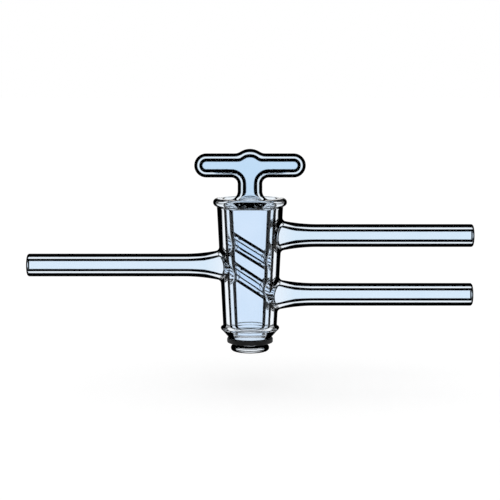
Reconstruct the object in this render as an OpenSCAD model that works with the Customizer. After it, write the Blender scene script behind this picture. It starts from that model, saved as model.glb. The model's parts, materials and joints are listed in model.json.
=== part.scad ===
// Three-way glass stopcock. A tapered barrel carries one arm on the left and two on the right.
// A hollow ground plug with a T handle turns in it, and two oblique bores cross the plug: one
// joins the left arm to the lower right arm, and half a turn on, the other joins it to the upper.
// Millimetres, +Z up along the plug's axis, with the origin on that axis at the tail's end.

/* [Side arms] */
// From the plug's axis to the open end of each arm
arm_reach = 78; // [50:0.5:120]
// Outside diameter of each arm
arm_d = 8; // [6.4:0.1:9.6]
// Glass thickness of each arm
arm_wall = 1.8; // [1.2:0.1:2.2]
// Radius of the fire-polished edges at an arm's mouth
polish_r = 0.8; // [0.2:0.05:0.85]
// Height between the axes of the two right arms
arm_pitch = 20.8; // [17:0.1:25]
// Length over which an arm widens towards the barrel
flare_len = 11.5; // [8:0.5:15]
// How much an arm's outside radius grows over that length
flare_rise = 1.1; // [0.5:0.1:1.4]
// How much an arm's lumen grows in radius over that length
port_rise = 1.2; // [0.4:0.1:1.5]
// Radius of the fused fillet between arm and barrel
fuse_r = 1.5; // [0.8:0.1:1.9]

/* [Taper joint] */
// Bore of the barrel at the height of the left arm
joint_d = 16.3; // [13.6:0.1:19.6]
// Length along the axis in which the bore grows by one unit of diameter
taper = 10; // [8:0.5:14]
// Radial room for grease between plug and barrel
joint_gap = 0.03; // [0.01:0.01:0.08]

/* [Barrel] */
// From the left arm's axis up to the barrel's top
barrel_above = 23.5; // [20:0.1:28]
// From the left arm's axis down to the barrel's lower end
barrel_below = 25.5; // [21.5:0.1:30]
// Glass thickness of the barrel
barrel_wall = 2.4; // [2:0.1:3]
// Height of the bead round the barrel's top
rim_h = 2.8; // [2:0.1:3.6]
// How far the top bead stands out of the barrel
rim_stand = 1.2; // [0.6:0.1:1.4]
// How far the lower bead stands out of the barrel
foot_stand = 0.9; // [0.4:0.1:1.2]
// Height of the sloping face under the lower bead
foot_slope_h = 2.7; // [1.8:0.1:3.2]
// Glass thickness at the barrel's lower lip
lip_wall = 0.8; // [0.5:0.1:1.2]

/* [Plug] */
// Glass thickness of the hollow plug
plug_wall = 1.75; // [1.4:0.05:2.2]
// Glass thickness of the plug's floor
floor_wall = 2.6; // [1.8:0.1:3.4]
// Bore of the oblique passages
bore_d = 2; // [1.4:0.1:2.8]
// Glass thickness round the oblique passages
bore_wall = 1.8; // [1.2:0.1:2]
// How far the plug's shoulder lies below the barrel's top
shoulder_drop = 0.8; // [0.2:0.1:1.4]
// How far the plug's taper stands out below the barrel
cone_out = 0.2; // [0.1:0.05:0.5]
// Diameter of the neck that holds the retaining ring
neck_d = 8.8; // [7.6:0.1:9.6]
// Radius of the fillet between neck and tail bead
neck_fillet = 0.8; // [0.4:0.1:1.2]
// Height of the bead at the tail's end
tail_h = 2.2; // [1.6:0.1:3]
// Radial room for the tail bead in the barrel's narrow end
tail_room = 0.1; // [0.05:0.01:0.3]

/* [Handle] */
// Length of the T handle from tip to tip
handle_w = 38.8; // [32:0.2:47]
// Diameter of the handle's bar
handle_d = 8.4; // [7.6:0.1:9.6]
// Glass thickness of the handle and its stem
handle_wall = 1.75; // [1.4:0.05:2.2]
// From the barrel's top up to the axis of the handle's bar
handle_rise = 11.4; // [10:0.1:14]
// Diameter of the stem under the bar
stem_d = 8.6; // [7.1:0.1:9.8]
// Radius of the web between stem and bar
web_r = 2.3; // [1.4:0.1:2.6]
// Radius of the sweep from the plug's shoulder into the stem
sweep_r = 3.3; // [2.4:0.1:3.6]
// How far the sealed tip stands above the bar
tip_h = 1.6; // [0.8:0.1:2.2]

/* [Retaining ring] */
// Height of the ring
ring_h = 1.6; // [1:0.1:2.4]
// Room between the ring and the plug round it
ring_gap = 0.05; // [0.02:0.01:0.1]
// How far the ring reaches out past the barrel's narrow end
ring_catch = 1.2; // [0.6:0.1:1.6]
// Radius of the ring's outer edges
ring_edge = 0.35; // [0.1:0.05:0.45]

/* [Hidden] */
$fn = 96;
over = 1;                                          // how far a cut runs past a face
arc_steps = 8;                                     // straight parts in a quarter round

// Heights of the levels above the tail's end
ring_z = tail_h + neck_fillet + ring_gap;
cone_z = ring_z + ring_h + ring_gap;               // small end of the plug's taper
barrel_z0 = cone_z + cone_out;
arm_z = barrel_z0 + barrel_below;                  // axis of the left arm
barrel_z1 = arm_z + barrel_above;
shoulder_z = barrel_z1 - shoulder_drop;
bar_z = barrel_z1 + handle_rise;
upper_z = arm_z + arm_pitch / 2;                   // axis of the upper right arm
lower_z = arm_z - arm_pitch / 2;                   // axis of the lower right arm

// Radii of the taper joint at height z
function bore_r(z) = joint_d / 2 + (z - arm_z) / taper / 2;
function plug_r(z) = bore_r(z) - joint_gap;
function shell_r(z) = bore_r(z) + barrel_wall;

// Points of an arc about centre c, from angle a0 to a1
function arc(c, r, a0, a1, steps = arc_steps) =
    [for (i = [0:steps]) let (a = a0 + (a1 - a0) * i / steps) c + r * [cos(a), sin(a)]];

// ---- barrel ----

rim_r = shell_r(barrel_z1) + rim_stand;
foot_z = barrel_z0 + foot_slope_h;                 // level where the lower bead is widest
foot_r = shell_r(foot_z) + foot_stand;
lip_r = bore_r(barrel_z0) + lip_wall;
foot_round = 0.6;                                  // rounding of the lower bead's edge
bead_blend = 0.8;                                  // height in which a bead fades into the wall

// Outside of the barrel as [radius, height], from the lower lip to the rim
module barrel_section() {
    foot_c = [foot_r - foot_round, foot_z + foot_round];
    rim_c = [rim_r - rim_h / 2, barrel_z1 - rim_h / 2];
    fade_z0 = foot_z + 2 * foot_round + bead_blend;
    fade_z1 = barrel_z1 - rim_h - bead_blend;
    polygon(concat(
        [[0, barrel_z0], [lip_r, barrel_z0]],
        arc(foot_c, foot_round, -60, 70, 5),
        [[shell_r(fade_z0), fade_z0], [shell_r(fade_z1), fade_z1]],
        arc(rim_c, rim_h / 2, -60, 90, 12),
        [[0, barrel_z1]]
    ));
}

// Half an arm's outline has its y along the arm, away from the plug's axis. It widens towards the
// barrel by an arc that leaves the straight tube at y1 without a crease.
function flare_turn(rise) = 2 * atan(rise / flare_len);
function flare_arc(r, rise, y1) =
    let (arc_r = flare_len / sin(flare_turn(rise)))
    arc([r + arc_r, y1], arc_r, 180, 180 + flare_turn(rise));

lumen_r = arm_d / 2 - arm_wall;
fuse_turn = 75;                                    // how steep the fused fillet gets, in degrees
fuse_sink = 0.15;                                  // how far the fillet's edge lies in the barrel

// Where the slow flare ends and the fillet starts, on an arm whose axis is at height z
function flare_y(z) =
    shell_r(z) - fuse_sink + fuse_r * (sin(fuse_turn) - sin(flare_turn(flare_rise)));

module arm_section(z) {
    r = arm_d / 2;
    turn = flare_turn(flare_rise);
    fuse_c = [r + flare_rise, flare_y(z)] + fuse_r * [cos(turn), sin(turn)];
    fillet = arc(fuse_c, fuse_r, 180 + turn, 180 + fuse_turn, 5);
    polygon(concat(
        [[0, 0], [0, arm_reach]],
        arc([r - polish_r, arm_reach - polish_r], polish_r, 90, 0, 6),
        flare_arc(r, flare_rise, flare_y(z) + flare_len),
        fillet,
        [[fillet[5].x, 0]]
    ));
}

// The lumen runs from inside the barrel's bore, through the port and out at the mouth
module lumen_section(z) {
    polygon(concat(
        [[0, bore_r(z) / 2], [0, arm_reach + over], [lumen_r + polish_r, arm_reach + over]],
        arc([lumen_r + polish_r, arm_reach - polish_r], polish_r, 90, 180, 6),
        flare_arc(lumen_r, port_rise, flare_y(z) + flare_len),
        [[lumen_r + port_rise, bore_r(z) / 2]]
    ));
}

// The arms' heights, and the side that each points to
ARMS = [[arm_z, -1], [upper_z, 1], [lower_z, 1]];

// Turns a half-outline into a solid about each arm's axis; $arm_z tells it which arm this is
module along_arms()
    for (arm = ARMS) {
        $arm_z = arm[0];
        translate([0, 0, arm[0]])
            rotate([0, 90 * arm[1], 0])
                rotate_extrude()
                    children();
    }

module barrel() {
    color("aliceblue")
        difference() {
            union() {
                rotate_extrude()
                    barrel_section();
                along_arms()
                    arm_section($arm_z);
            }
            taper_bore();
            along_arms()
                lumen_section($arm_z);
        }
}

// The ground bore, a cone right through the barrel
module taper_bore() {
    z0 = barrel_z0 - over;
    z1 = barrel_z1 + over;
    translate([0, 0, z0])
        cylinder(h = z1 - z0, r1 = bore_r(z0), r2 = bore_r(z1));
}

// ---- plug ----

stem_r = stem_d / 2;
bar_r = handle_d / 2;
elbow_r = min(bar_r, stem_r) - 0.1;                // tube of the bends between stem and bar
elbow_bend = elbow_r + web_r;                      // bend radius of their centre line
tail_r = bore_r(barrel_z0) - tail_room;
corner_r = 0.6;                                    // rounding of the plug's shoulder
sweep_c = [stem_r + sweep_r, shoulder_z + sweep_r];

// Outside of the plug as [radius, height], from the tail's end to the sealed tip
module plug_section() {
    neck_r = neck_d / 2;
    corner_z = shoulder_z - corner_r;
    corner_c = [plug_r(corner_z) - corner_r, corner_z];
    polygon(concat(
        [[0, 0]],
        arc([tail_r - tail_h / 2, tail_h / 2], tail_h / 2, -90, 90, 12),
        arc([neck_r + neck_fillet, tail_h + neck_fillet], neck_fillet, 270, 180, 5),
        [[neck_r, cone_z], [plug_r(cone_z), cone_z]],
        arc(corner_c, corner_r, 0, 90, 5),
        arc(sweep_c, sweep_r, 270, 180),
        sealed_tip(0)
    ));
}

// The sealed tip: the stem's side turns in by a tight arc, and a dome closes it on the axis
tip_corner_r = handle_wall + 0.45;
tip_dome_r = 1.4 * stem_r;
function sealed_tip(inset) =
    let (
        spread = tip_dome_r - tip_corner_r,
        turn = acos((stem_r - tip_corner_r) / spread),
        dome_c = [0, bar_z + bar_r + tip_h - tip_dome_r]
    )
    concat(
        arc(dome_c + spread * [cos(turn), sin(turn)], tip_corner_r - inset, 0, turn, 6),
        arc(dome_c, tip_dome_r - inset, turn, 90, 6)
    );

// The void in the plug and its stem, parallel to the outside. Its shoulder is a small round that
// runs into the sweep without a crease.
function hollow_r(z) = plug_r(z) - plug_wall;
module hollow_section() {
    floor_z = cone_z + floor_wall;
    floor_r = 1.5;
    round_r = 1;
    inner_sweep_r = sweep_r + handle_wall;
    side_r = hollow_r(shoulder_z - handle_wall);
    turn = acos((sweep_c.x - side_r + round_r) / (inner_sweep_r + round_r));
    round_c = sweep_c - (inner_sweep_r + round_r) * [cos(turn), sin(turn)];
    polygon(concat(
        [[0, floor_z]],
        arc([hollow_r(floor_z) - floor_r, floor_z + floor_r], floor_r, -90, 0, 6),
        arc(round_c, round_r, 0, turn, 6),
        arc(sweep_c, inner_sweep_r, 180 + turn, 180),
        sealed_tip(handle_wall)
    ));
}

// The T's bar and the two bends that lead into it; inset is how far inside the glass they run
module handle_bar(inset) {
    half = handle_w / 2 - bar_r;
    bend = elbow_bend;
    translate([0, 0, bar_z])
        rotate([0, 90, 0])
            union() {
                cylinder(h = 2 * half, r = bar_r - inset, center = true);
                for (side = [-1, 1])
                    translate([0, 0, side * half])
                        sphere(bar_r - inset);
            }
    for (turn = [0, 180])
        rotate([0, 0, turn])
            translate([bend, 0, bar_z - bend])
                rotate([90, 0, 0])
                    rotate_extrude(angle = 90, start = 90)
                        translate([bend, 0])
                            circle(elbow_r - inset);
}

// A round bar of radius r along each oblique passage, from the height of one arm on the left to
// the height of the next one down on the right, and on past the plug at both ends
module passages(r) {
    past = 2 * over;
    drop = arm_pitch / 2;
    for (z = [upper_z, arm_z]) {
        run = plug_r(z) + plug_r(z - drop);
        translate([-plug_r(z), 0, z])
            rotate([0, 90 + atan(drop / run), 0])
                translate([0, 0, -past])
                    cylinder(h = norm([run, drop]) + 2 * past, r = r);
    }
}

module plug() {
    color("lightsteelblue")
        difference() {
            union() {
                rotate_extrude()
                    plug_section();
                handle_bar(0);
            }
            difference() {
                union() {
                    rotate_extrude()
                        hollow_section();
                    handle_bar(handle_wall);
                }
                passages(bore_d / 2 + bore_wall);
            }
            passages(bore_d / 2);
        }
}

// ---- retaining ring ----

module retaining_ring() {
    r0 = neck_d / 2 + ring_gap;
    r1 = bore_r(barrel_z0) + ring_catch;
    e = ring_edge;
    color("black")
        translate([0, 0, ring_z])
            rotate_extrude()
                polygon(concat(
                    [[r0, 0]],
                    arc([r1 - e, e], e, -90, 0, 5),
                    arc([r1 - e, ring_h - e], e, 0, 90, 5),
                    [[r0, ring_h]]
                ));
}

barrel();
plug();
retaining_ring();
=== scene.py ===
import json
import math

import bmesh
import bpy
import numpy as np
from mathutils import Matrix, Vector


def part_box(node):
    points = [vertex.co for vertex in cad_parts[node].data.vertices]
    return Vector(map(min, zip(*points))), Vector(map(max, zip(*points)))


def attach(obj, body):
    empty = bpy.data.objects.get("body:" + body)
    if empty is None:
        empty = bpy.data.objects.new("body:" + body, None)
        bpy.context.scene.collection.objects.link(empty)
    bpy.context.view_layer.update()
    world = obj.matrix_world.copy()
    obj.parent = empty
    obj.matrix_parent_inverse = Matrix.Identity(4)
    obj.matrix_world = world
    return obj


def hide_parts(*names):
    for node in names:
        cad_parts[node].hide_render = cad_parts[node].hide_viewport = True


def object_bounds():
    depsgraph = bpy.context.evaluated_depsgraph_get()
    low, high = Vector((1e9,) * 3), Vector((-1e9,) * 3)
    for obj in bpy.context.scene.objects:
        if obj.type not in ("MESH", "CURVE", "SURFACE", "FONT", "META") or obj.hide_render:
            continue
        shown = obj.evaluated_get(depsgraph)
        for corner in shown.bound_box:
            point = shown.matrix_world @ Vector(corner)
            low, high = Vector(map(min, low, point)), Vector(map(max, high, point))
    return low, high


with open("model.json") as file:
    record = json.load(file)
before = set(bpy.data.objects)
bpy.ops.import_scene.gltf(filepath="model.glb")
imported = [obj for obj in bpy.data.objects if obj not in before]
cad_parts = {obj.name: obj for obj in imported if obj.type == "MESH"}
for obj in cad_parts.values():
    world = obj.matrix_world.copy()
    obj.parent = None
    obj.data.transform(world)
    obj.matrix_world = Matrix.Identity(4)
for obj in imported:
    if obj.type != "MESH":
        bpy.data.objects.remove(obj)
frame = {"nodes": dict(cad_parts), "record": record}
cad_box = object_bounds()

scene = bpy.context.scene
MM = 0.001

# ---- sizes in millimetres, as in the frame ----

record = frame["record"]
mounts = {mount["name"]: mount for mount in record["mounts"]}
barrel_low, barrel_high = (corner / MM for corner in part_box("barrel"))
plug_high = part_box("plug")[1] / MM


def mount_height(name):
    return mounts[name]["pos_m"][2] / MM


def mount_radius(name):
    return mounts[name]["dims"]["r_mm"]


# Arms
LEFT_Z = mount_height("left_arm")
UPPER_Z = mount_height("upper_right_arm")
LOWER_Z = mount_height("lower_right_arm")
DROP = UPPER_Z - LEFT_Z                  # how far an oblique passage falls on its way across
REACH = barrel_high.x                    # from the plug's axis to an arm's mouth
ARM_R = mount_radius("left_arm")
LUMEN_R = mount_radius("left_lumen")
POLISH_R = 0.8                           # fire-polished edge of a mouth
FLARE_START = 1.0                        # how far out of the barrel's wall an arm's flare begins
FLARE_LEN = 11.5
FLARE_RISE = 1.1                         # how much the arm's radius grows over the flare
PORT_RISE = 1.2                          # how much the lumen's radius grows over it
FUSE_R = 1.3                             # fused fillet between arm and barrel

# Taper joint
BORE_R = 8.15                            # radius of the barrel's bore at the left arm
TAPER = 10.0
GREASE = 0.03                            # radial room between plug and barrel

# Barrel
BARREL_Z0 = barrel_low.z
BARREL_Z1 = barrel_high.z
BARREL_WALL = 2.4
RIM_R = barrel_high.y
RIM_H = 2.8
FOOT_STAND = 0.9                         # how far the foot's bead stands out of the wall
FOOT_Z = BARREL_Z0 + 2.7
FOOT_ROUND = 0.6
FOOT_TURNS = (-40, -60)                  # where the lip's arc ends and the bead's begins, in degrees
BEAD_TURN = 62                           # where a bead's arc ends, in degrees from level
BLEND_H = 0.8                            # height of the soft curve between a bead and the wall
BLEND_DOWN = 0.75                        # shape of that curve, as shares of its height and depth
BLEND_SLIDE = 0.45
BLEND_RISE = 0.55
LIP_WALL = 0.8                           # wall of the barrel's thin lower lip
LIP_ROUND = 0.2
EDGE_R = 0.2                             # dulled edge of a ground face
EDGE_MID = 0.3 * EDGE_R                  # how far in the middle of that edge lies

# Plug
PLUG_WALL = 1.75
CONE_Z = BARREL_Z0 - 0.2                 # lower end of the ground taper
SHOULDER_Z = BARREL_Z1 - 0.8             # its upper end
CORNER_R = 0.6
FLOOR_Z = CONE_Z + 2.6                   # floor of the hollow
FLOOR_R = 1.5
TAIL_H = 2.2
TAIL_ROOM = 0.1                          # by which the tail passes the barrel's narrow end
NECK_R = 4.4                             # bottom of the ring's groove
NECK_FILLET = 0.8
NECK_ROUND = 0.3
PASSAGE_R = 1.0
PASSAGE_WALL = 1.8
PASSAGE_FUSE = 1.1                       # fused fillet where a passage's tube meets the hollow's wall
HOLLOW_ROUND = 1.0                       # corner between the hollow's wall and its roof

# Handle
BAR_R = 4.2
STEM_R = 4.3
HANDLE_WALL = 1.75
SWEEP_R = 3.3                            # from the plug's shoulder into the stem
SWEEP_C = (STEM_R + SWEEP_R, SHOULDER_Z + SWEEP_R)
BAR_Z = BARREL_Z1 + 11.4
BAR_HALF = plug_high.x - BAR_R           # from the axis to the centre of a round end
TIP_Z = plug_high.z
WEB_R = 2.3                              # inner radius of the elbows between stem and bar
ELBOW = WEB_R + BAR_R                    # how far the elbows' common centres lie from the middle lines
SPLIT_Z = BAR_Z - 7.3                    # height on the stem where the handle's own skin begins
DOME_R = 1.4 * STEM_R                    # the sealed tip
DOME_BLEND = 0.8

# How finely the skins are divided
AROUND = 96                              # points in a ring
BAR_AROUND = 48
BORE_AROUND = 48
BAR_CELL = 0.65                          # length of a cell along the bar
SHELL_LEVELS = 61
BORE_LEVELS = 73
LEVEL_H = DROP / 20                      # so that rows of the plug fall on the arms' heights
TAPER_BELOW = 26                         # rows of the taper below the lower right arm
HOLLOW_BELOW = 21                        # rows of the hollow below it
END_RINGS = (0.12, 0.4, 0.7)             # rings on a flat end, as shares of its radius
ARM_PORT = (24, 24)                      # columns and rows of cells that a hole takes out of a wall
BORE_PORT = (12, 12)
TUBE_PORT = (28, 20)
WEB_CELLS = 12                           # half of the columns and rows that the stem takes out of the bar
FUSE_STEPS = 8
TUBE_STEPS = 8
SHARP_TURN = 40                          # degrees between faces from which an edge is drawn sharp


# ---- small geometry helpers ----

def arc(centre, radius, start, stop, steps=12):
    """Points of an arc from one angle to another, in degrees."""
    angles = np.radians(np.linspace(start, stop, steps + 1))
    return [(centre[0] + radius * math.cos(a), centre[1] + radius * math.sin(a)) for a in angles]


def bezier(p0, p1, p2, p3, steps):
    """Points of a cubic curve, both ends included."""
    t = np.linspace(0, 1, steps + 1)[:, None]
    s = 1 - t
    return s**3 * p0 + 3 * s * s * t * p1 + 3 * s * t * t * p2 + t**3 * p3


def smoothstep(value, low, high):
    t = min(max((value - low) / (high - low), 0.0), 1.0)
    return t * t * (3 - 2 * t)


def smooth_min(a, b, blend):
    """The smaller of two distances, with the corner between them rounded."""
    gap = max(blend - abs(a - b), 0.0)
    return min(a, b) - gap * gap / (4 * blend)


def unit(v):
    return v / np.linalg.norm(v)


def steps_after(start, stop, steps):
    """Even steps from one value to another, without the first."""
    return np.linspace(start, stop, steps + 1)[1:]


def square_edge(cols, rows):
    """The edge of a block of cells, as (column, row) from its middle, counterclockwise from the right."""
    c = cols // 2
    r = rows // 2
    right = [(c, j) for j in range(0, r)]
    top = [(i, r) for i in range(c, -c, -1)]
    left = [(-c, j) for j in range(r, -r, -1)]
    bottom = [(i, -r) for i in range(-c, c)]
    return right + top + left + bottom + [(c, j) for j in range(-r, 0)]


# ---- skin: points and quads of one shell of glass ----

class Skin:
    """Points and faces. Each face has a kind, which is the number of its material."""

    def __init__(self):
        self.points = []
        self.faces = []
        self.kinds = []

    def ring(self, points):
        """Adds points and returns their numbers."""
        first = len(self.points)
        self.points.extend(np.asarray(p, float) for p in points)
        return list(range(first, len(self.points)))

    def face(self, corners, kind):
        self.faces.append(corners)
        self.kinds.append(kind)

    def band(self, a, b, kind):
        """Quads between two closed rings of the same length."""
        count = len(a)
        for i in range(count):
            j = (i + 1) % count
            self.face((a[i], a[j], b[j], b[i]), kind)

    def bands(self, rings, kind):
        for a, b in zip(rings, rings[1:]):
            self.band(a, b, kind)

    def cap(self, ring, pole, kind):
        """Closes a ring at one point."""
        tip = self.ring([pole])[0]
        count = len(ring)
        for i in range(count):
            self.face((ring[i], ring[(i + 1) % count], tip), kind)

    def turned(self, profile):
        """One ring for each (radius, height) of a profile."""
        angles = np.arange(AROUND) * 2 * math.pi / AROUND
        return [self.ring([(r * math.cos(a), r * math.sin(a), z) for a in angles]) for r, z in profile]


class Port:
    """A round hole in a wall of revolution, on its right or left side, centred at a height."""

    def __init__(self, side, height, hole, cols, rows):
        self.column = 0 if side > 0 else AROUND // 2
        self.height = height
        self.hole = hole
        self.cols = cols
        self.rows = rows

    def settle(self, levels):
        """Finds the row of the wall that lies nearest to the hole's centre."""
        self.row = min(range(len(levels)), key=lambda j: abs(levels[j] - self.height))

    def covers(self, column, row):
        across = (column - self.column + self.cols // 2) % AROUND
        return across < self.cols and -self.rows // 2 <= row - self.row < self.rows // 2


def wall(skin, levels, radius, ports, kind, hole_rings=6):
    """A wall of revolution with holes. Returns its rings, and the ring of points at each hole."""
    rings = skin.turned([(radius(z), z) for z in levels])
    for port in ports:
        port.settle(levels)
    for j in range(len(levels) - 1):
        for i in range(AROUND):
            if not any(port.covers(i, j) for port in ports):
                n = (i + 1) % AROUND
                skin.face((rings[j][i], rings[j][n], rings[j + 1][n], rings[j + 1][i]), kind)
    return rings, [wall_round_hole(skin, rings, radius, port, kind, hole_rings) for port in ports]


def wall_round_hole(skin, rings, radius, port, kind, hole_rings):
    """Closes the wall between a port's block of cells and its hole. Returns the points at the hole."""
    last = [rings[port.row + j][(port.column + i) % AROUND] for i, j in square_edge(port.cols, port.rows)]
    middle = port.column * 2 * math.pi / AROUND
    flat_edge = [around_and_up(skin.points[n], middle) for n in last]
    flat_hole = [around_and_up(p, middle) for p in port.hole]
    for t in steps_after(0, 1, hole_rings):
        points = []
        for a, b in zip(flat_edge, flat_hole):
            turn, z = a + (b - a) * t
            r = radius(z)
            points.append((r * math.cos(middle + turn), r * math.sin(middle + turn), z))
        new = skin.ring(points)
        skin.band(last, new, kind)
        last = new
    return last


def around_and_up(point, middle):
    """Where a point lies on a wall: its turn from a middle direction, and its height."""
    turn = math.atan2(point[1], point[0]) - middle
    return np.array(((turn + math.pi) % (2 * math.pi) - math.pi, point[2]))


class Branch:
    """A round tube that crosses a wall of revolution. Its radius may change with the distance along it."""

    def __init__(self, start, way, radius, count):
        self.start = np.array(start, float)
        self.way = unit(np.array(way, float))
        self.across = np.array((0.0, math.copysign(1.0, way[0]), 0.0))
        up = np.cross(self.across, self.way)
        self.up = up if up[2] > 0 else -up
        self.radius = radius
        self.turns = np.arange(count) * 2 * math.pi / count

    def spoke(self, turn):
        """The way out from the tube's middle, at one turn round it."""
        return math.cos(turn) * self.across + math.sin(turn) * self.up

    def at(self, along, turn):
        return self.start + along * self.way + self.radius(along) * self.spoke(turn)

    def meet(self, wall_radius, turn, tube_radius=None):
        """How far along the tube, at one turn round it, its side meets the wall."""
        along = wall_radius(self.start[2])
        for _ in range(30):
            r = self.radius(along) if tube_radius is None else tube_radius
            point = self.start + along * self.way + r * self.spoke(turn)
            out = math.hypot(point[0], point[1])
            slope = (point[0] * self.way[0] + point[1] * self.way[1]) / out
            along += (wall_radius(point[2]) - out) / slope
        return along

    def hole(self, wall_radius):
        """The points in which the tube's side meets the wall."""
        return [self.at(self.meet(wall_radius, turn), turn) for turn in self.turns]

    def fused(self, wall_radius, turn, fillet, leave, steps):
        """A fused root at one turn round the tube: points from the wall to the tube, and where along the
        tube it ends. leave is 1 where the tube goes out from the wall and -1 where it goes in."""
        small = 0.01
        along = self.meet(wall_radius, turn)
        ring = self.radius(along)

        def on_wall(r):
            t = self.meet(wall_radius, turn, r)
            return self.start + t * self.way + r * self.spoke(turn)

        def wall_way(r):
            return (on_wall(r + small) - on_wall(r - small)) / (2 * small)

        def tube_way(t):
            return leave * (self.at(t + small, turn) - self.at(t - small, turn)) / (2 * small)

        at_wall = wall_way(ring)
        at_tube = tube_way(along)
        angle = math.acos(float(unit(at_wall) @ unit(at_tube)))
        length = fillet / math.tan(angle / 2)
        handle = 4 / 3 * math.tan((math.pi - angle) / 4) * fillet
        end = along + leave * length / np.linalg.norm(at_tube)
        foot = ring + length / np.linalg.norm(at_wall)
        a = self.at(end, turn)
        b = on_wall(foot)
        root = bezier(b, b - handle * unit(wall_way(foot)), a - handle * unit(tube_way(end)), a, steps)
        return root, end


# ---- barrel, with its three arms ----

OUTSIDE, INSIDE, GROUND, TUBE, BORE, FLAT = range(6)    # kinds of face, as glass_kinds has them


def bore_r(z):
    return BORE_R + (z - LEFT_Z) / TAPER / 2


def plug_r(z):
    return bore_r(z) - GREASE


def shell_r(z):
    return bore_r(z) + BARREL_WALL


def hollow_r(z):
    return plug_r(z) - PLUG_WALL


def flared(radius, rise, foot):
    """The radius of a tube that widens towards the barrel by a rise, at its foot, along an arc."""
    turn = 2 * math.atan(rise / FLARE_LEN)
    bend = FLARE_LEN / math.sin(turn)

    def at(along):
        into = max(foot + FLARE_LEN - along, 0.0)
        return radius + bend - math.sqrt(bend * bend - into * into)
    return at


def build_barrel():
    skin = Skin()
    arms = [barrel_arm(side, height) for side, height in ((-1, LEFT_Z), (1, UPPER_Z), (1, LOWER_Z))]
    low = FOOT_Z + 2 * FOOT_ROUND + BLEND_H
    high = BARREL_Z1 - RIM_H - BLEND_H
    levels = np.linspace(low, high, SHELL_LEVELS)
    ports = [Port(arm["side"], arm["height"], [root[0] for root, _ in arm["roots"]], *ARM_PORT)
             for arm in arms]
    outer, outer_holes = wall(skin, levels, shell_r, ports, OUTSIDE)
    levels = np.linspace(BARREL_Z0 + EDGE_R, BARREL_Z1 - EDGE_R, BORE_LEVELS)
    ports = [Port(arm["side"], arm["height"], arm["lumen"].hole(bore_r), *ARM_PORT) for arm in arms]
    inner, inner_holes = wall(skin, levels, bore_r, ports, GROUND)
    build_foot(skin, inner[0], outer[0], low)
    build_rim(skin, inner[-1], outer[-1], high)
    for arm, outer_hole, inner_hole in zip(arms, outer_holes, inner_holes):
        build_arm(skin, arm, outer_hole, inner_hole)
    return skin


def barrel_arm(side, height):
    """An arm's side and height, its tube and lumen, and its fused root on the barrel."""
    foot = shell_r(height) + FLARE_START
    tube = Branch((0, 0, height), (side, 0, 0), flared(ARM_R, FLARE_RISE, foot), AROUND)
    lumen = Branch((0, 0, height), (side, 0, 0), flared(LUMEN_R, PORT_RISE, foot), AROUND)
    roots = [tube.fused(shell_r, turn, FUSE_R, 1, FUSE_STEPS) for turn in tube.turns]
    return {"side": side, "height": height, "foot": foot, "tube": tube, "lumen": lumen, "roots": roots}


def build_foot(skin, inner, outer, level):
    """The lower end, from the bore out over the lip and the sloped bead to the wall."""
    bore = bore_r(BARREL_Z0)
    lip_c = (bore + LIP_WALL - LIP_ROUND, BARREL_Z0 + LIP_ROUND)
    bead_c = (shell_r(FOOT_Z) + FOOT_STAND - FOOT_ROUND, FOOT_Z + FOOT_ROUND)
    below = skin.turned(
        [(bore + EDGE_MID, BARREL_Z0 + EDGE_MID), (bore + EDGE_R, BARREL_Z0)]
        + arc(lip_c, LIP_ROUND, -90, FOOT_TURNS[0], 4)
        + arc(bead_c, FOOT_ROUND, FOOT_TURNS[1], BEAD_TURN, 14)
    )
    soft = blend_rings(skin, below[-1], level, shell_r)
    skin.bands([inner] + below + soft + [outer], OUTSIDE)


def build_rim(skin, inner, outer, level):
    """The top bead, from the wall over to the bore."""
    bore = bore_r(BARREL_Z1)
    rim_c = (RIM_R - RIM_H / 2, BARREL_Z1 - RIM_H / 2)
    rim = skin.turned(arc(rim_c, RIM_H / 2, -BEAD_TURN, 90, 18))
    edge = skin.turned([(bore + EDGE_R, BARREL_Z1), (bore + EDGE_MID, BARREL_Z1 - EDGE_MID)])
    soft = blend_rings(skin, rim[0], level, shell_r)
    skin.bands([outer] + soft[::-1] + rim, OUTSIDE)
    skin.band(rim[-1], edge[0], FLAT)
    skin.bands(edge + [inner], OUTSIDE)


def blend_rings(skin, bead, level, radius, steps=6):
    """Rings of a soft hollow curve from a bead's last ring to a wall's end."""
    x, y, z0 = skin.points[bead[0]]
    r0 = np.hypot(x, y)
    r1 = radius(level)
    lean = (radius(level + 1) - radius(level - 1)) / 2
    down = BLEND_DOWN * (z0 - level)
    slide = BLEND_SLIDE * (r0 - r1)
    rise = math.copysign(BLEND_RISE * slide, z0 - level)
    curve = bezier(np.array((r0, z0)), np.array((r0 - slide, z0 - rise)),
                   np.array((r1 + lean * down, level + down)), np.array((r1, level)), steps + 1)
    return skin.turned([tuple(p) for p in curve[1:-1]])


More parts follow.
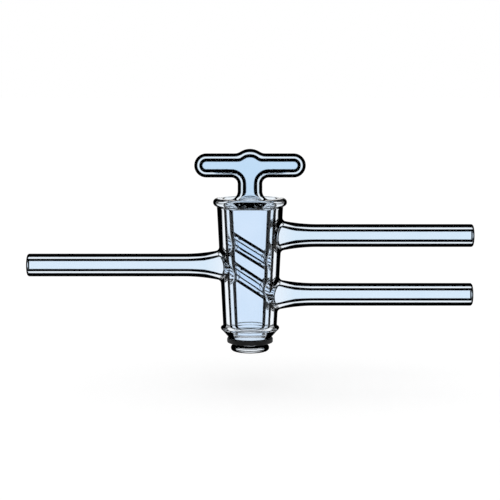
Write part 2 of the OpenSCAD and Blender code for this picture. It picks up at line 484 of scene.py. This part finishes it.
def build_arm(skin, arm, outer_hole, inner_hole):
    """Root, flare, straight tube, mouth, and back along the lumen to the port in the bore."""
    tube = arm["tube"]
    lumen = arm["lumen"]
    roots = arm["roots"]
    straight = arm["foot"] + FLARE_LEN
    end = REACH - POLISH_R
    rings = [outer_hole] + [skin.ring([root[s] for root, _ in roots]) for s in range(1, FUSE_STEPS + 1)]
    for t in steps_after(0, 1, 16):
        rings.append(skin.ring([tube.at(last + (straight - last) * t, turn)
                                for turn, (_, last) in zip(tube.turns, roots)]))
    for along in steps_after(straight, end, 12)[:-1]:
        rings.append(skin.ring([tube.at(along, turn) for turn in tube.turns]))
    mouth = (arc((ARM_R - POLISH_R, end), POLISH_R, 0, 90, 10)
             + arc((LUMEN_R + POLISH_R, end), POLISH_R, 90, 180, 10))
    for r, along in mouth:
        rings.append(skin.ring([tube.start + along * tube.way + r * tube.spoke(turn)
                                for turn in tube.turns]))
    skin.bands(rings, OUTSIDE)

    back = [rings[-1]]
    for along in steps_after(end, straight, 12):
        back.append(skin.ring([lumen.at(along, turn) for turn in lumen.turns]))
    stops = [lumen.meet(bore_r, turn) for turn in lumen.turns]
    for t in steps_after(0, 1, 18)[:-1]:
        back.append(skin.ring([lumen.at(straight + (stop - straight) * t, turn)
                               for turn, stop in zip(lumen.turns, stops)]))
    skin.bands(back + [inner_hole], INSIDE)


# ---- plug: taper, tail, hollow, passages and handle ----

def handle_distance(x, z):
    """Distance in the handle's plane from the lines down the middle of its bar, stem and tip. Its
    level lines run round each elbow about one centre, and over the tip as a dome."""
    bar = math.hypot(max(abs(x) - BAR_HALF, 0.0), z - BAR_Z)
    below = BAR_Z - z
    if below <= 0:
        dome = math.hypot(x, z - TIP_Z + DOME_R) - (DOME_R - BAR_R)
        return max(smooth_min(bar, dome, DOME_BLEND), 0.0)
    if abs(x) < ELBOW and below < ELBOW:
        return max(ELBOW - math.hypot(ELBOW - abs(x), ELBOW - below), 0.0)
    return min(bar, abs(x))


def handle_level(point, inset):
    """Zero on the handle's surface, or on its hollow's, which lies an inset further in."""
    x, y, z = point
    radius = BAR_R + (STEM_R - BAR_R) * (1 - smoothstep(z, SPLIT_Z, BAR_Z - BAR_R)) - inset
    return y * y + handle_distance(x, z)**2 - radius * radius


def seat(point, inset):
    """Moves a point on to the handle's surface, by Newton's steps."""
    point = np.array(point, float)
    step = 1e-4
    for _ in range(12):
        level = handle_level(point, inset)
        rises = [handle_level(point + step * axis, inset) - handle_level(point - step * axis, inset)
                 for axis in np.eye(3)]
        slope = np.array(rises) / (2 * step)
        point -= slope * level / max(slope @ slope, 1e-9)
    return point


def build_handle(skin, stem_ring, inset, kind):
    """The T's bar, its two round ends and its web, joined to the stem's top ring."""
    cells = int(BAR_HALF / BAR_CELL)
    radius = BAR_R - inset
    turns = np.arange(BAR_AROUND) * 2 * math.pi / BAR_AROUND
    rings = []
    for x in np.arange(-cells, cells + 1) * BAR_HALF / cells:
        rings.append(skin.ring([seat((x, radius * math.sin(turn), BAR_Z - radius * math.cos(turn)), inset)
                                for turn in turns]))
    for i in range(2 * cells):
        for j in range(BAR_AROUND):
            in_web = -WEB_CELLS <= i - cells < WEB_CELLS and (j + WEB_CELLS) % BAR_AROUND < 2 * WEB_CELLS
            if not in_web:
                n = (j + 1) % BAR_AROUND
                skin.face((rings[i][j], rings[i][n], rings[i + 1][n], rings[i + 1][j]), kind)
    for ring, side in ((rings[0], -1), (rings[-1], 1)):
        round_end(skin, ring, side, radius, turns, kind)
    edge = [rings[cells + i][j % BAR_AROUND] for i, j in square_edge(2 * WEB_CELLS, 2 * WEB_CELLS)]
    last = edge
    for t in steps_after(0, 1, 18)[:-1]:
        new = skin.ring([seat(skin.points[a] + (skin.points[b] - skin.points[a]) * t, inset)
                         for a, b in zip(edge, stem_ring)])
        skin.band(last, new, kind)
        last = new
    skin.band(last, stem_ring, kind)


def round_end(skin, ring, side, radius, turns, kind):
    """A half ball on one end of the handle's bar."""
    for angle in np.radians(steps_after(0, 90, 12)[:-1]):
        r = radius * math.cos(angle)
        x = side * (BAR_HALF + radius * math.sin(angle))
        new = skin.ring([(x, r * math.sin(turn), BAR_Z - r * math.cos(turn)) for turn in turns])
        skin.band(ring, new, kind)
        ring = new
    skin.cap(ring, (side * (BAR_HALF + radius), 0, BAR_Z), kind)


def passage_branch(side, height, radius, count):
    """One end of an oblique passage, which starts at this height on the left or ends so on the right."""
    top = height if side < 0 else height + DROP
    left = np.array((-plug_r(top), 0, top))
    right = np.array((plug_r(top - DROP), 0, top - DROP))
    middle = (left + right) / 2
    way = (left - right) if side < 0 else (right - left)
    return Branch(middle, way, lambda along: radius, count)


ENDS = ((-1, UPPER_Z), (-1, LEFT_Z), (1, LEFT_Z), (1, LOWER_Z))
PASSAGES = ((0, 2), (1, 3))              # which left end and which right end belong together


def opposite(ring):
    """A right-hand ring, put in the order of the left-hand ring that it faces."""
    count = len(ring)
    return [ring[(count // 2 - k) % count] for k in range(count)]


def plug_outside():
    """Tail, groove, ground taper, shoulder, stem and handle, and the bores of the passages."""
    skin = Skin()
    tail = tail_rings(skin)
    corner_z = SHOULDER_Z - CORNER_R
    corner_c = (plug_r(corner_z) - CORNER_R, corner_z)
    levels = np.arange(LOWER_Z - TAPER_BELOW * LEVEL_H, corner_z, LEVEL_H)
    ends = [passage_branch(side, height, PASSAGE_R, BORE_AROUND) for side, height in ENDS]
    ports = [Port(side, height, end.hole(plug_r), *BORE_PORT) for (side, height), end in zip(ENDS, ends)]
    rings, holes = wall(skin, levels, plug_r, ports, GROUND, hole_rings=5)
    skin.bands(tail + [rings[0]], OUTSIDE)
    corner = skin.turned(arc(corner_c, CORNER_R, 0, 90, 8))
    top = skin.turned(arc(SWEEP_C, SWEEP_R, 270, 180, 16) + [(STEM_R, SPLIT_Z)])
    skin.bands([rings[-1]] + corner, OUTSIDE)
    skin.band(corner[-1], top[0], FLAT)
    skin.bands(top, OUTSIDE)
    build_handle(skin, top[-1], 0.0, OUTSIDE)
    for left, right in PASSAGES:
        join_tube(skin, holes[left], opposite(holes[right]), BORE)
    return skin


def tail_rings(skin):
    """The plug's lower end, from the middle of the tail over its bead and groove to the taper."""
    tail_r = bore_r(BARREL_Z0) - TAIL_ROOM
    rings = skin.turned(
        [(tail_r * share, 0) for share in END_RINGS]
        + arc((tail_r - TAIL_H / 2, TAIL_H / 2), TAIL_H / 2, -90, 90, 18)
        + arc((NECK_R + NECK_FILLET, TAIL_H + NECK_FILLET), NECK_FILLET, 270, 180, 8)
        + arc((NECK_R + NECK_ROUND, CONE_Z - NECK_ROUND), NECK_ROUND, 180, 90, 4)
        + arc((plug_r(CONE_Z) - EDGE_R, CONE_Z + EDGE_R), EDGE_R, -90, 0, 4)
    )
    skin.cap(rings[0], (0, 0, 0), OUTSIDE)
    return rings


def plug_hollow():
    """The sealed void in the plug, crossed by the two tubes that carry the passages."""
    skin = Skin()
    floor = floor_rings(skin)
    roof, roof_z = roof_profile()
    levels = np.arange(LOWER_Z - HOLLOW_BELOW * LEVEL_H, roof_z, LEVEL_H)
    ends = [passage_branch(side, height, PASSAGE_R + PASSAGE_WALL, AROUND) for side, height in ENDS]
    roots = [[end.fused(hollow_r, turn, PASSAGE_FUSE, -1, FUSE_STEPS)[0] for turn in end.turns]
             for end in ends]
    ports = [Port(side, height, [root[0] for root in end_roots], *TUBE_PORT)
             for (side, height), end_roots in zip(ENDS, roots)]
    rings, holes = wall(skin, levels, hollow_r, ports, INSIDE, hole_rings=5)
    skin.bands(floor + [rings[0]], INSIDE)
    top = skin.turned(roof)
    skin.bands([rings[-1]] + top, INSIDE)
    build_handle(skin, top[-1], HANDLE_WALL, INSIDE)
    for left, right in PASSAGES:
        a = root_rings(skin, holes[left], roots[left])
        b = root_rings(skin, holes[right], roots[right])
        join_tube(skin, a, opposite(b), TUBE)
    return skin


def floor_rings(skin):
    """The hollow's flat floor and its round corner."""
    floor_r = hollow_r(FLOOR_Z)
    rings = skin.turned(
        [(floor_r * share, FLOOR_Z) for share in END_RINGS[:2]]
        + arc((floor_r - FLOOR_R, FLOOR_Z + FLOOR_R), FLOOR_R, -90, 0, 10)
    )
    skin.cap(rings[0], (0, 0, FLOOR_Z), INSIDE)
    return rings


def roof_profile():
    """Radii and heights from the top of the hollow's wall into the stem, and the height of that top."""
    sweep = SWEEP_R + HANDLE_WALL
    side_r = hollow_r(SHOULDER_Z - HANDLE_WALL)
    apart = sweep + HOLLOW_ROUND
    turn = math.acos((SWEEP_C[0] - side_r + HOLLOW_ROUND) / apart)
    corner_c = (SWEEP_C[0] - apart * math.cos(turn), SWEEP_C[1] - apart * math.sin(turn))
    turn = math.degrees(turn)
    corner = arc(corner_c, HOLLOW_ROUND, 0, turn, 8)[:-1]
    return corner + arc(SWEEP_C, sweep, 180 + turn, 180, 14) + [(STEM_R - HANDLE_WALL, SPLIT_Z)], corner_c[1]


def root_rings(skin, hole, roots):
    """The fused root of a tube, from a hole in the hollow's wall. Returns its last ring."""
    rings = [hole] + [skin.ring([root[s] for root in roots]) for s in range(1, FUSE_STEPS + 1)]
    skin.bands(rings, TUBE)
    return rings[-1]


def join_tube(skin, a, b, kind):
    """The straight side of a tube between two rings."""
    rings = [a]
    for t in steps_after(0, 1, TUBE_STEPS)[:-1]:
        rings.append(skin.ring([skin.points[p] + (skin.points[q] - skin.points[p]) * t
                                for p, q in zip(a, b)]))
    skin.bands(rings + [b], kind)


# ---- Blender objects from skins ----

def add_skin(build, skin, inward=False):
    """Adds one closed skin to a mesh, facing out of the glass."""
    part = bmesh.new()
    used = sorted({n for face in skin.faces for n in face})
    verts = {n: part.verts.new(Vector(skin.points[n]) * MM) for n in used}
    for corners, kind in zip(skin.faces, skin.kinds):
        part.faces.new([verts[n] for n in corners]).material_index = kind
    bmesh.ops.recalc_face_normals(part, faces=part.faces)
    if inward:
        bmesh.ops.reverse_faces(part, faces=part.faces)
    mesh = bpy.data.meshes.new("part")
    part.to_mesh(mesh)
    part.free()
    build.from_mesh(mesh)
    bpy.data.meshes.remove(mesh)


def glass_piece(name, body, node, skins, materials):
    """A piece from its skins, each with whether it bounds a void, that stands in for a CAD node."""
    build = bmesh.new()
    for skin, inward in skins:
        add_skin(build, skin, inward)
    mesh = bpy.data.meshes.new(name)
    build.to_mesh(mesh)
    build.free()
    for material in materials:
        mesh.materials.append(material)
    mesh.shade_smooth()
    mesh.set_sharp_from_angle(angle=math.radians(SHARP_TURN))
    obj = bpy.data.objects.new(name, mesh)
    scene.collection.objects.link(obj)
    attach(obj, body)
    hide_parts(node)


# ---- node helpers ----

def new_material(name):
    mat = bpy.data.materials.new(name)
    mat.use_nodes = True
    mat.node_tree.nodes.clear()
    return mat


def add(tree, kind, inputs=None, **settings):
    """Adds a node. inputs holds a value or a socket for an input's name or number."""
    node = tree.nodes.new(kind)
    for key, value in settings.items():
        setattr(node, key, value)
    for key, value in (inputs or {}).items():
        socket = node.inputs[key]
        if kind == "ShaderNodeMix":
            socket = [s for s in node.inputs if s.name == key and s.enabled][0]
        if isinstance(value, bpy.types.NodeSocket):
            tree.links.new(value, socket)
        else:
            socket.default_value = value
    return node


def mixed(tree, share, a, b, data_type="FLOAT"):
    """a where the share is 0 and b where it is 1, as numbers or as colours with RGBA."""
    node = add(tree, "ShaderNodeMix", {"Factor": share, "A": a, "B": b}, data_type=data_type)
    return [s for s in node.outputs if s.enabled][0]


def rgba(colour):
    return (*colour, 1.0)


def maths(tree, operation, *values):
    return add(tree, "ShaderNodeMath", dict(enumerate(values)), operation=operation).outputs[0]


def ramp(tree, value, start, stop, low=0.0, high=1.0):
    """A value that goes evenly from low to high while another goes from start to stop."""
    return add(tree, "ShaderNodeMapRange", {0: value, 1: start, 2: stop, 3: low, 4: high}).outputs[0]


def fade(tree, value, span):
    """From 0 to 1 over a span of a length, in millimetres."""
    return ramp(tree, value, span[0] * MM, span[1] * MM)


def noise(tree, where, scale, detail):
    return add(tree, "ShaderNodeTexNoise", {"Vector": where, "Scale": scale, "Detail": detail}).outputs[0]


def bumped(tree, height, depth, strength=1.0, below=None):
    """A surface moved by a height of this depth in millimetres, on the one below."""
    inputs = {"Strength": strength, "Distance": depth * MM, "Height": height}
    if below is not None:
        inputs["Normal"] = below
    return add(tree, "ShaderNodeBump", inputs).outputs[0]


# ---- glass ----

ARM_TINT = (0.84, 0.915, 0.985)          # seen through four faces
HANDLE_TINT = (0.74, 0.855, 0.965)       # seen through four faces
THICK_TINT = (0.90, 0.945, 0.995)        # barrel and plug, seen through eight or more
DEEP_TINT = (0.45, 0.66, 0.80)
CLOUD_SCALE = 60.0                       # drift of the tint along the pieces
CLOUD_RANGE = (0.35, 0.65)
CLOUD_SHARE = 0.06
# Painted shade: the near-black colour of the dark edge lines painted on the glass where a ray crosses a face
# at a slant
PAINTED_EDGE_SHADE = (0.0005, 0.0006, 0.001)
EDGE_SHEEN = (0.02, 0.02, 0.02)
GLASS_IOR = 1.474
WAVE_SCALE = 130.0                       # slow waves of blown glass, some 8 mm long
WAVE_DEPTH = 0.012
PIT_SCALE = 3500.0                       # grain of the ground faces
PIT_DEPTH = 0.0006
GROUND_ROUGH = 0.02

# Painted shade, dark edge lines on the glass: the radius of a face and the width of its line, on the
# wide barrel and plug, on the narrow arms, on the handle, and on the rim, foot and tail
OUTER_LINES = ((10.5, 1.4), (4.0, 1.2), (4.2, 1.15), (12.9, 1.1))
INNER_LINES = ((6.4, 1.2), (2.2, 0.85), (2.5, 1.2), (6.4, 0.35))
GROUND_LINES = ((8.1, 0.8), (8.1, 0.8), (8.1, 0.8), (8.1, 0.35))
TUBE_LINES = ((2.8, 1.0),) * 4
BORE_LINES = ((1.0, 0.42),) * 4
FLAT_LINES = ((8.1, 0.01),) * 4
LIP_LINE = (POLISH_R, 0.55)              # on a mouth's lip
LIP_TURN = (0.1, 0.35)                   # how far a lip's face turns out before it has that line
EDGE_SOFT = 0.12                         # share of a line's width over which it fades
EDGE_FLOOR = 0.02                        # keeps a ray along the run from dividing by nothing

# Where one part of the glass fades into another: distances from the axis and heights
ARM_ZONE = (10.8, 16.0)
HANDLE_ZONE = (BARREL_Z1 - 0.9, BARREL_Z1 + 2.1)
RIM_ZONE = (BARREL_Z1 - RIM_H - 0.9, BARREL_Z1 - RIM_H)
UNDER_ZONE = (BARREL_Z1 + 0.9, BARREL_Z1 + 0.1)
FOOT_ZONE = (FOOT_Z + 1.6, FOOT_Z + 0.6)
TAIL_ZONE = (TAIL_H + 1.2, TAIL_H + 0.6)
LIP_START = REACH - POLISH_R

# Where the run of the glass turns: into the arms, above the barrel, and from the stem into the bar
ARM_RUN = (10.6, 12.0)
OVER_RUN = (BARREL_Z1 + 2, BARREL_Z1 + 4)
HIGH_RUN = (BAR_Z - ELBOW, BAR_Z - WEB_R)
FAR_RUN = (STEM_R, ELBOW)
OBLIQUE_RUN = (2 * plug_r(LEFT_Z), 0.0, -DROP)


def edge_range(radius, width):
    """Squared sines between which a line fades, of the turn round a face of this radius."""
    return (1 - width * (1 + EDGE_SOFT) / radius)**2, (1 - width * (1 - EDGE_SOFT) / radius)**2


def facing(tree, inputs):
    """Cosine of the angle between the ray and the face, or a normal that is given."""
    weight = add(tree, "ShaderNodeLayerWeight", {"Blend": 0.5, **inputs}).outputs["Facing"]
    return maths(tree, "SUBTRACT", 1.0, weight)


def edge_sine(tree, run, lip):
    """Squared sine of the turn round a surface, from the side that faces the ray to the side seen
    edge-on. run is the way the surface runs, in the object's axes. The ray's lean along it is taken
    out, so a tube's edges stay as narrow when it is seen at a slant. It stays in where lip is 1, as a
    lip turns both ways. Rays inside the glass count as they leave it."""
    run = add(tree, "ShaderNodeVectorTransform", {0: run}, vector_type="VECTOR",
              convert_from="OBJECT", convert_to="WORLD").outputs[0]
    run = add(tree, "ShaderNodeVectorMath", {0: run}, operation="NORMALIZE").outputs[0]
    face = facing(tree, {})
    lean = facing(tree, {"Normal": run})
    inside = add(tree, "ShaderNodeNewGeometry").outputs["Backfacing"]
    bend = ramp(tree, inside, 0.0, 1.0, 1.0, GLASS_IOR**2)
    slant = maths(tree, "SUBTRACT", 1.0, maths(tree, "MULTIPLY", face, face))
    slant = maths(tree, "MULTIPLY", bend, slant)
    along = maths(tree, "MULTIPLY", bend, maths(tree, "MULTIPLY", lean, lean))
    along = maths(tree, "MULTIPLY", along, maths(tree, "SUBTRACT", 1.0, lip))
    rest = maths(tree, "MAXIMUM", maths(tree, "SUBTRACT", 1.0, along), EDGE_FLOOR)
    return maths(tree, "DIVIDE", maths(tree, "SUBTRACT", slant, along), rest)


def blown_run(tree, xyz):
    """The way the glass runs: along x on the arms and the handle's bar, and up on the rest."""
    out = maths(tree, "ABSOLUTE", xyz.outputs[0])
    height = xyz.outputs[2]
    elbow = maths(tree, "MAXIMUM", fade(tree, height, HIGH_RUN), fade(tree, out, FAR_RUN))
    bar = maths(tree, "MULTIPLY", fade(tree, height, OVER_RUN), elbow)
    level = maths(tree, "MAXIMUM", fade(tree, out, ARM_RUN), bar)
    across = maths(tree, "MULTIPLY", level, maths(tree, "SIGN", xyz.outputs[0]))
    up = maths(tree, "SUBTRACT", 1.0, level)
    return add(tree, "ShaderNodeCombineXYZ", {0: across, 2: up}).outputs[0]


def glass_zones(tree, where, xyz):
    """How far a point belongs to each part of the glass, from 0 to 1."""
    flat = add(tree, "ShaderNodeCombineXYZ", {0: xyz.outputs[0], 1: xyz.outputs[1]}).outputs[0]
    out = add(tree, "ShaderNodeVectorMath", {0: flat}, operation="LENGTH").outputs["Value"]
    height = xyz.outputs[2]
    arms = fade(tree, out, ARM_ZONE)
    tail = fade(tree, height, TAIL_ZONE)
    rim = maths(tree, "MULTIPLY", fade(tree, height, RIM_ZONE), fade(tree, height, UNDER_ZONE))
    foot = maths(tree, "SUBTRACT", fade(tree, height, FOOT_ZONE), tail)
    reach = maths(tree, "ABSOLUTE", xyz.outputs[0])
    turned = add(tree, "ShaderNodeSeparateXYZ", {0: where.outputs["Normal"]}).outputs[0]
    lip = ramp(tree, maths(tree, "ABSOLUTE", turned), *LIP_TURN)
    return {
        "arms": arms,
        "slim": maths(tree, "MAXIMUM", arms, tail),
        "handle": fade(tree, height, HANDLE_ZONE),
        "beads": maths(tree, "MAXIMUM", rim, foot),
        "lip": maths(tree, "MULTIPLY", lip, maths(tree, "GREATER_THAN", reach, LIP_START * MM)),
    }


def edge_bounds(tree, zone, lines):
    """The two squared sines between which a point's line fades, as its zones ask."""
    bounds = []
    for wide, narrow, held, small, end in zip(*(edge_range(*line) for line in (*lines, LIP_LINE))):
        bound = ramp(tree, zone["slim"], 0.0, 1.0, wide, narrow)
        bound = mixed(tree, zone["handle"], bound, held)
        bound = mixed(tree, zone["beads"], bound, small)
        bounds.append(mixed(tree, zone["lip"], bound, end))
    return bounds


def glass_tint(tree, zone, where):
    """The tint of a crossed face. It drifts a little along the piece, as the wall's thickness does."""
    tint = mixed(tree, zone["arms"], rgba(THICK_TINT), rgba(ARM_TINT), "RGBA")
    tint = mixed(tree, zone["handle"], tint, rgba(HANDLE_TINT), "RGBA")
    cloud = ramp(tree, noise(tree, where, CLOUD_SCALE, 2.0), *CLOUD_RANGE, 0.0, CLOUD_SHARE)
    return mixed(tree, cloud, tint, rgba(DEEP_TINT), "RGBA")


def glass(name, lines, run=None, roughness=0.0, pits=0.0):
    """Clear borosilicate glass, with painted shade at its edges: where a ray crosses a face at a slant, its
    colour is painted near-black and, short of total reflection, it turns to black metal, so its edges draw
    dark lines."""
    mat = new_material(name)
    tree = mat.node_tree
    where = add(tree, "ShaderNodeTexCoord")
    place = where.outputs["Object"]
    xyz = add(tree, "ShaderNodeSeparateXYZ", {0: place})
    zone = glass_zones(tree, where, xyz)
    sine = edge_sine(tree, run or blown_run(tree, xyz), zone["lip"])
    low, high = edge_bounds(tree, zone, lines)
    edge = add(tree, "ShaderNodeMapRange", {0: sine, 1: low, 2: high},
               interpolation_type="SMOOTHSTEP").outputs[0]
    surface = bumped(tree, noise(tree, place, WAVE_SCALE, 1.0), WAVE_DEPTH)
    if pits:
        surface = bumped(tree, noise(tree, place, PIT_SCALE, 3.0), pits, below=surface)
    # Painted shade: near-black edge lines mixed into the colour, and black metal there where the ray is not
    # wholly mirrored
    shader = add(tree, "ShaderNodeBsdfPrincipled", {
        "Base Color": mixed(tree, edge, glass_tint(tree, zone, place), rgba(PAINTED_EDGE_SHADE), "RGBA"),
        "Roughness": roughness,
        "IOR": GLASS_IOR,
        "Transmission Weight": 1.0,
        "Specular Tint": rgba(EDGE_SHEEN),
        "Metallic": maths(tree, "MULTIPLY", edge, maths(tree, "LESS_THAN", sine, 1.0)),
        "Normal": surface,
    })
    add(tree, "ShaderNodeOutputMaterial", {"Surface": shader.outputs["BSDF"]})
    return mat


def glass_kinds():
    """The glass of each kind of face, in the order of their numbers."""
    return [
        glass("polished_glass", OUTER_LINES),
        glass("inner_glass", INNER_LINES),
        glass("ground_glass", GROUND_LINES, roughness=GROUND_ROUGH, pits=PIT_DEPTH),
        glass("tube_glass", TUBE_LINES, OBLIQUE_RUN),
        glass("bore_glass", BORE_LINES, OBLIQUE_RUN),
        glass("flat_glass", FLAT_LINES),
    ]


# ---- rubber ----

RUBBER_BLACK = (0.004, 0.004, 0.0045)
RUBBER_DUSTY = (0.016, 0.016, 0.017)
RUBBER_ROUGH = (0.45, 0.7)               # clean and dusty
RUBBER_SHEEN = 0.15
BLOOM_SCALE = 420.0
BLOOM_RANGE = (0.35, 0.7)
GRAIN_SCALE = 5000.0
GRAIN_DEPTH = 0.02
GRAIN_STRENGTH = 0.6


def rubber():
    """Matt black rubber, with a dusty bloom in patches and the fine grain of its mould."""
    mat = new_material("black_rubber")
    tree = mat.node_tree
    place = add(tree, "ShaderNodeTexCoord").outputs["Object"]
    patch = ramp(tree, noise(tree, place, BLOOM_SCALE, 4.0), *BLOOM_RANGE)
    shader = add(tree, "ShaderNodeBsdfPrincipled", {
        "Base Color": mixed(tree, patch, rgba(RUBBER_BLACK), rgba(RUBBER_DUSTY), "RGBA"),
        "Roughness": ramp(tree, patch, 0.0, 1.0, *RUBBER_ROUGH),
        "Specular IOR Level": RUBBER_SHEEN,
        "Normal": bumped(tree, noise(tree, place, GRAIN_SCALE, 3.0), GRAIN_DEPTH, GRAIN_STRENGTH),
    })
    add(tree, "ShaderNodeOutputMaterial", {"Surface": shader.outputs["BSDF"]})
    return mat


# ---- stage: a plain white studio ----

WHITE = (1.0, 1.0, 1.0)
LIGHT = 0.9                              # the studio's strength as light
STAGE_Z = cad_box[0][2] - 12 * MM
STAGE_HALF = 6.0                         # metres
PAPER = (0.6, 0.6, 0.6)                  # the paper that the camera sees, and the light it gives
PAPER_GLOW = 0.5
BOUNCE = (0.9, 0.9, 0.9)                 # the paper that other surfaces see
CAMERA_OUT = 0.5                         # metres from its aim
CAMERA_UP = math.radians(7)
CAMERA_WIDTH = 175 * MM
CAMERA_SENSOR = 36
CAMERA_CLIP = (0.01, 50)
AIM_Z = (LEFT_Z + 5.3) * MM


def bent_ray(tree, path):
    """1 for a ray that has been mirrored by or has gone through a surface."""
    return maths(tree, "MAXIMUM", path.outputs["Is Glossy Ray"], path.outputs["Is Transmission Ray"])


def floor_paper():
    """White paper that shows the camera its shadows, and is plain white in the glass."""
    mat = new_material("floor_paper")
    tree = mat.node_tree
    path = add(tree, "ShaderNodeLightPath")
    paper = add(tree, "ShaderNodeBsdfDiffuse", {"Color": rgba(PAPER)}).outputs[0]
    lift = add(tree, "ShaderNodeEmission", {"Color": rgba(WHITE), "Strength": PAPER_GLOW}).outputs[0]
    seen = add(tree, "ShaderNodeAddShader", {0: paper, 1: lift}).outputs[0]
    bounce = add(tree, "ShaderNodeBsdfDiffuse", {"Color": rgba(BOUNCE)}).outputs[0]
    glow = add(tree, "ShaderNodeEmission", {"Color": rgba(WHITE), "Strength": 1.0}).outputs[0]
    other = add(tree, "ShaderNodeMixShader", {0: bent_ray(tree, path), 1: bounce, 2: glow}).outputs[0]
    paper = add(tree, "ShaderNodeMixShader", {0: path.outputs["Is Camera Ray"], 1: other, 2: seen})
    add(tree, "ShaderNodeOutputMaterial", {"Surface": paper.outputs[0]})
    return mat


def stage_floor():
    corners = [(x * STAGE_HALF, y * STAGE_HALF, STAGE_Z) for x, y in ((-1, -1), (1, -1), (1, 1), (-1, 1))]
    mesh = bpy.data.meshes.new("floor")
    mesh.from_pydata(corners, [], [(0, 1, 2, 3)])
    mesh.materials.append(floor_paper())
    obj = bpy.data.objects.new("floor", mesh)
    scene.collection.objects.link(obj)


def set_world():
    """White to the camera and in the glass, and a little under white as light."""
    world = bpy.data.worlds.new("studio")
    scene.world = world
    world.use_nodes = True
    tree = world.node_tree
    tree.nodes.clear()
    path = add(tree, "ShaderNodeLightPath")
    shown = maths(tree, "MAXIMUM", path.outputs["Is Camera Ray"], bent_ray(tree, path))
    level = ramp(tree, shown, 0.0, 1.0, LIGHT, 1.0)
    white = add(tree, "ShaderNodeBackground", {"Color": rgba(WHITE), "Strength": level})
    add(tree, "ShaderNodeOutputWorld", {"Surface": white.outputs[0]})


def add_camera():
    data = bpy.data.cameras.new("camera")
    data.sensor_width = CAMERA_SENSOR
    data.lens = CAMERA_SENSOR * CAMERA_OUT / CAMERA_WIDTH
    data.clip_start, data.clip_end = CAMERA_CLIP
    obj = bpy.data.objects.new("camera", data)
    scene.collection.objects.link(obj)
    way = Vector((0, -math.cos(CAMERA_UP), math.sin(CAMERA_UP)))
    obj.location = Vector((0, 0, AIM_Z)) + CAMERA_OUT * way
    obj.rotation_euler = (math.radians(90) - CAMERA_UP, 0, 0)
    scene.camera = obj


# ---- the pieces and the stage ----

kinds = glass_kinds()
glass_piece("barrel_blown", "barrel", "barrel", [(build_barrel(), False)], kinds)
glass_piece("plug_blown", "plug", "plug", [(plug_outside(), False), (plug_hollow(), True)],
            kinds)
ring = frame["nodes"]["retaining_ring"].data
ring.materials.clear()
ring.materials.append(rubber())

stage_floor()
set_world()
add_camera()
scene.view_settings.view_transform = "Standard"
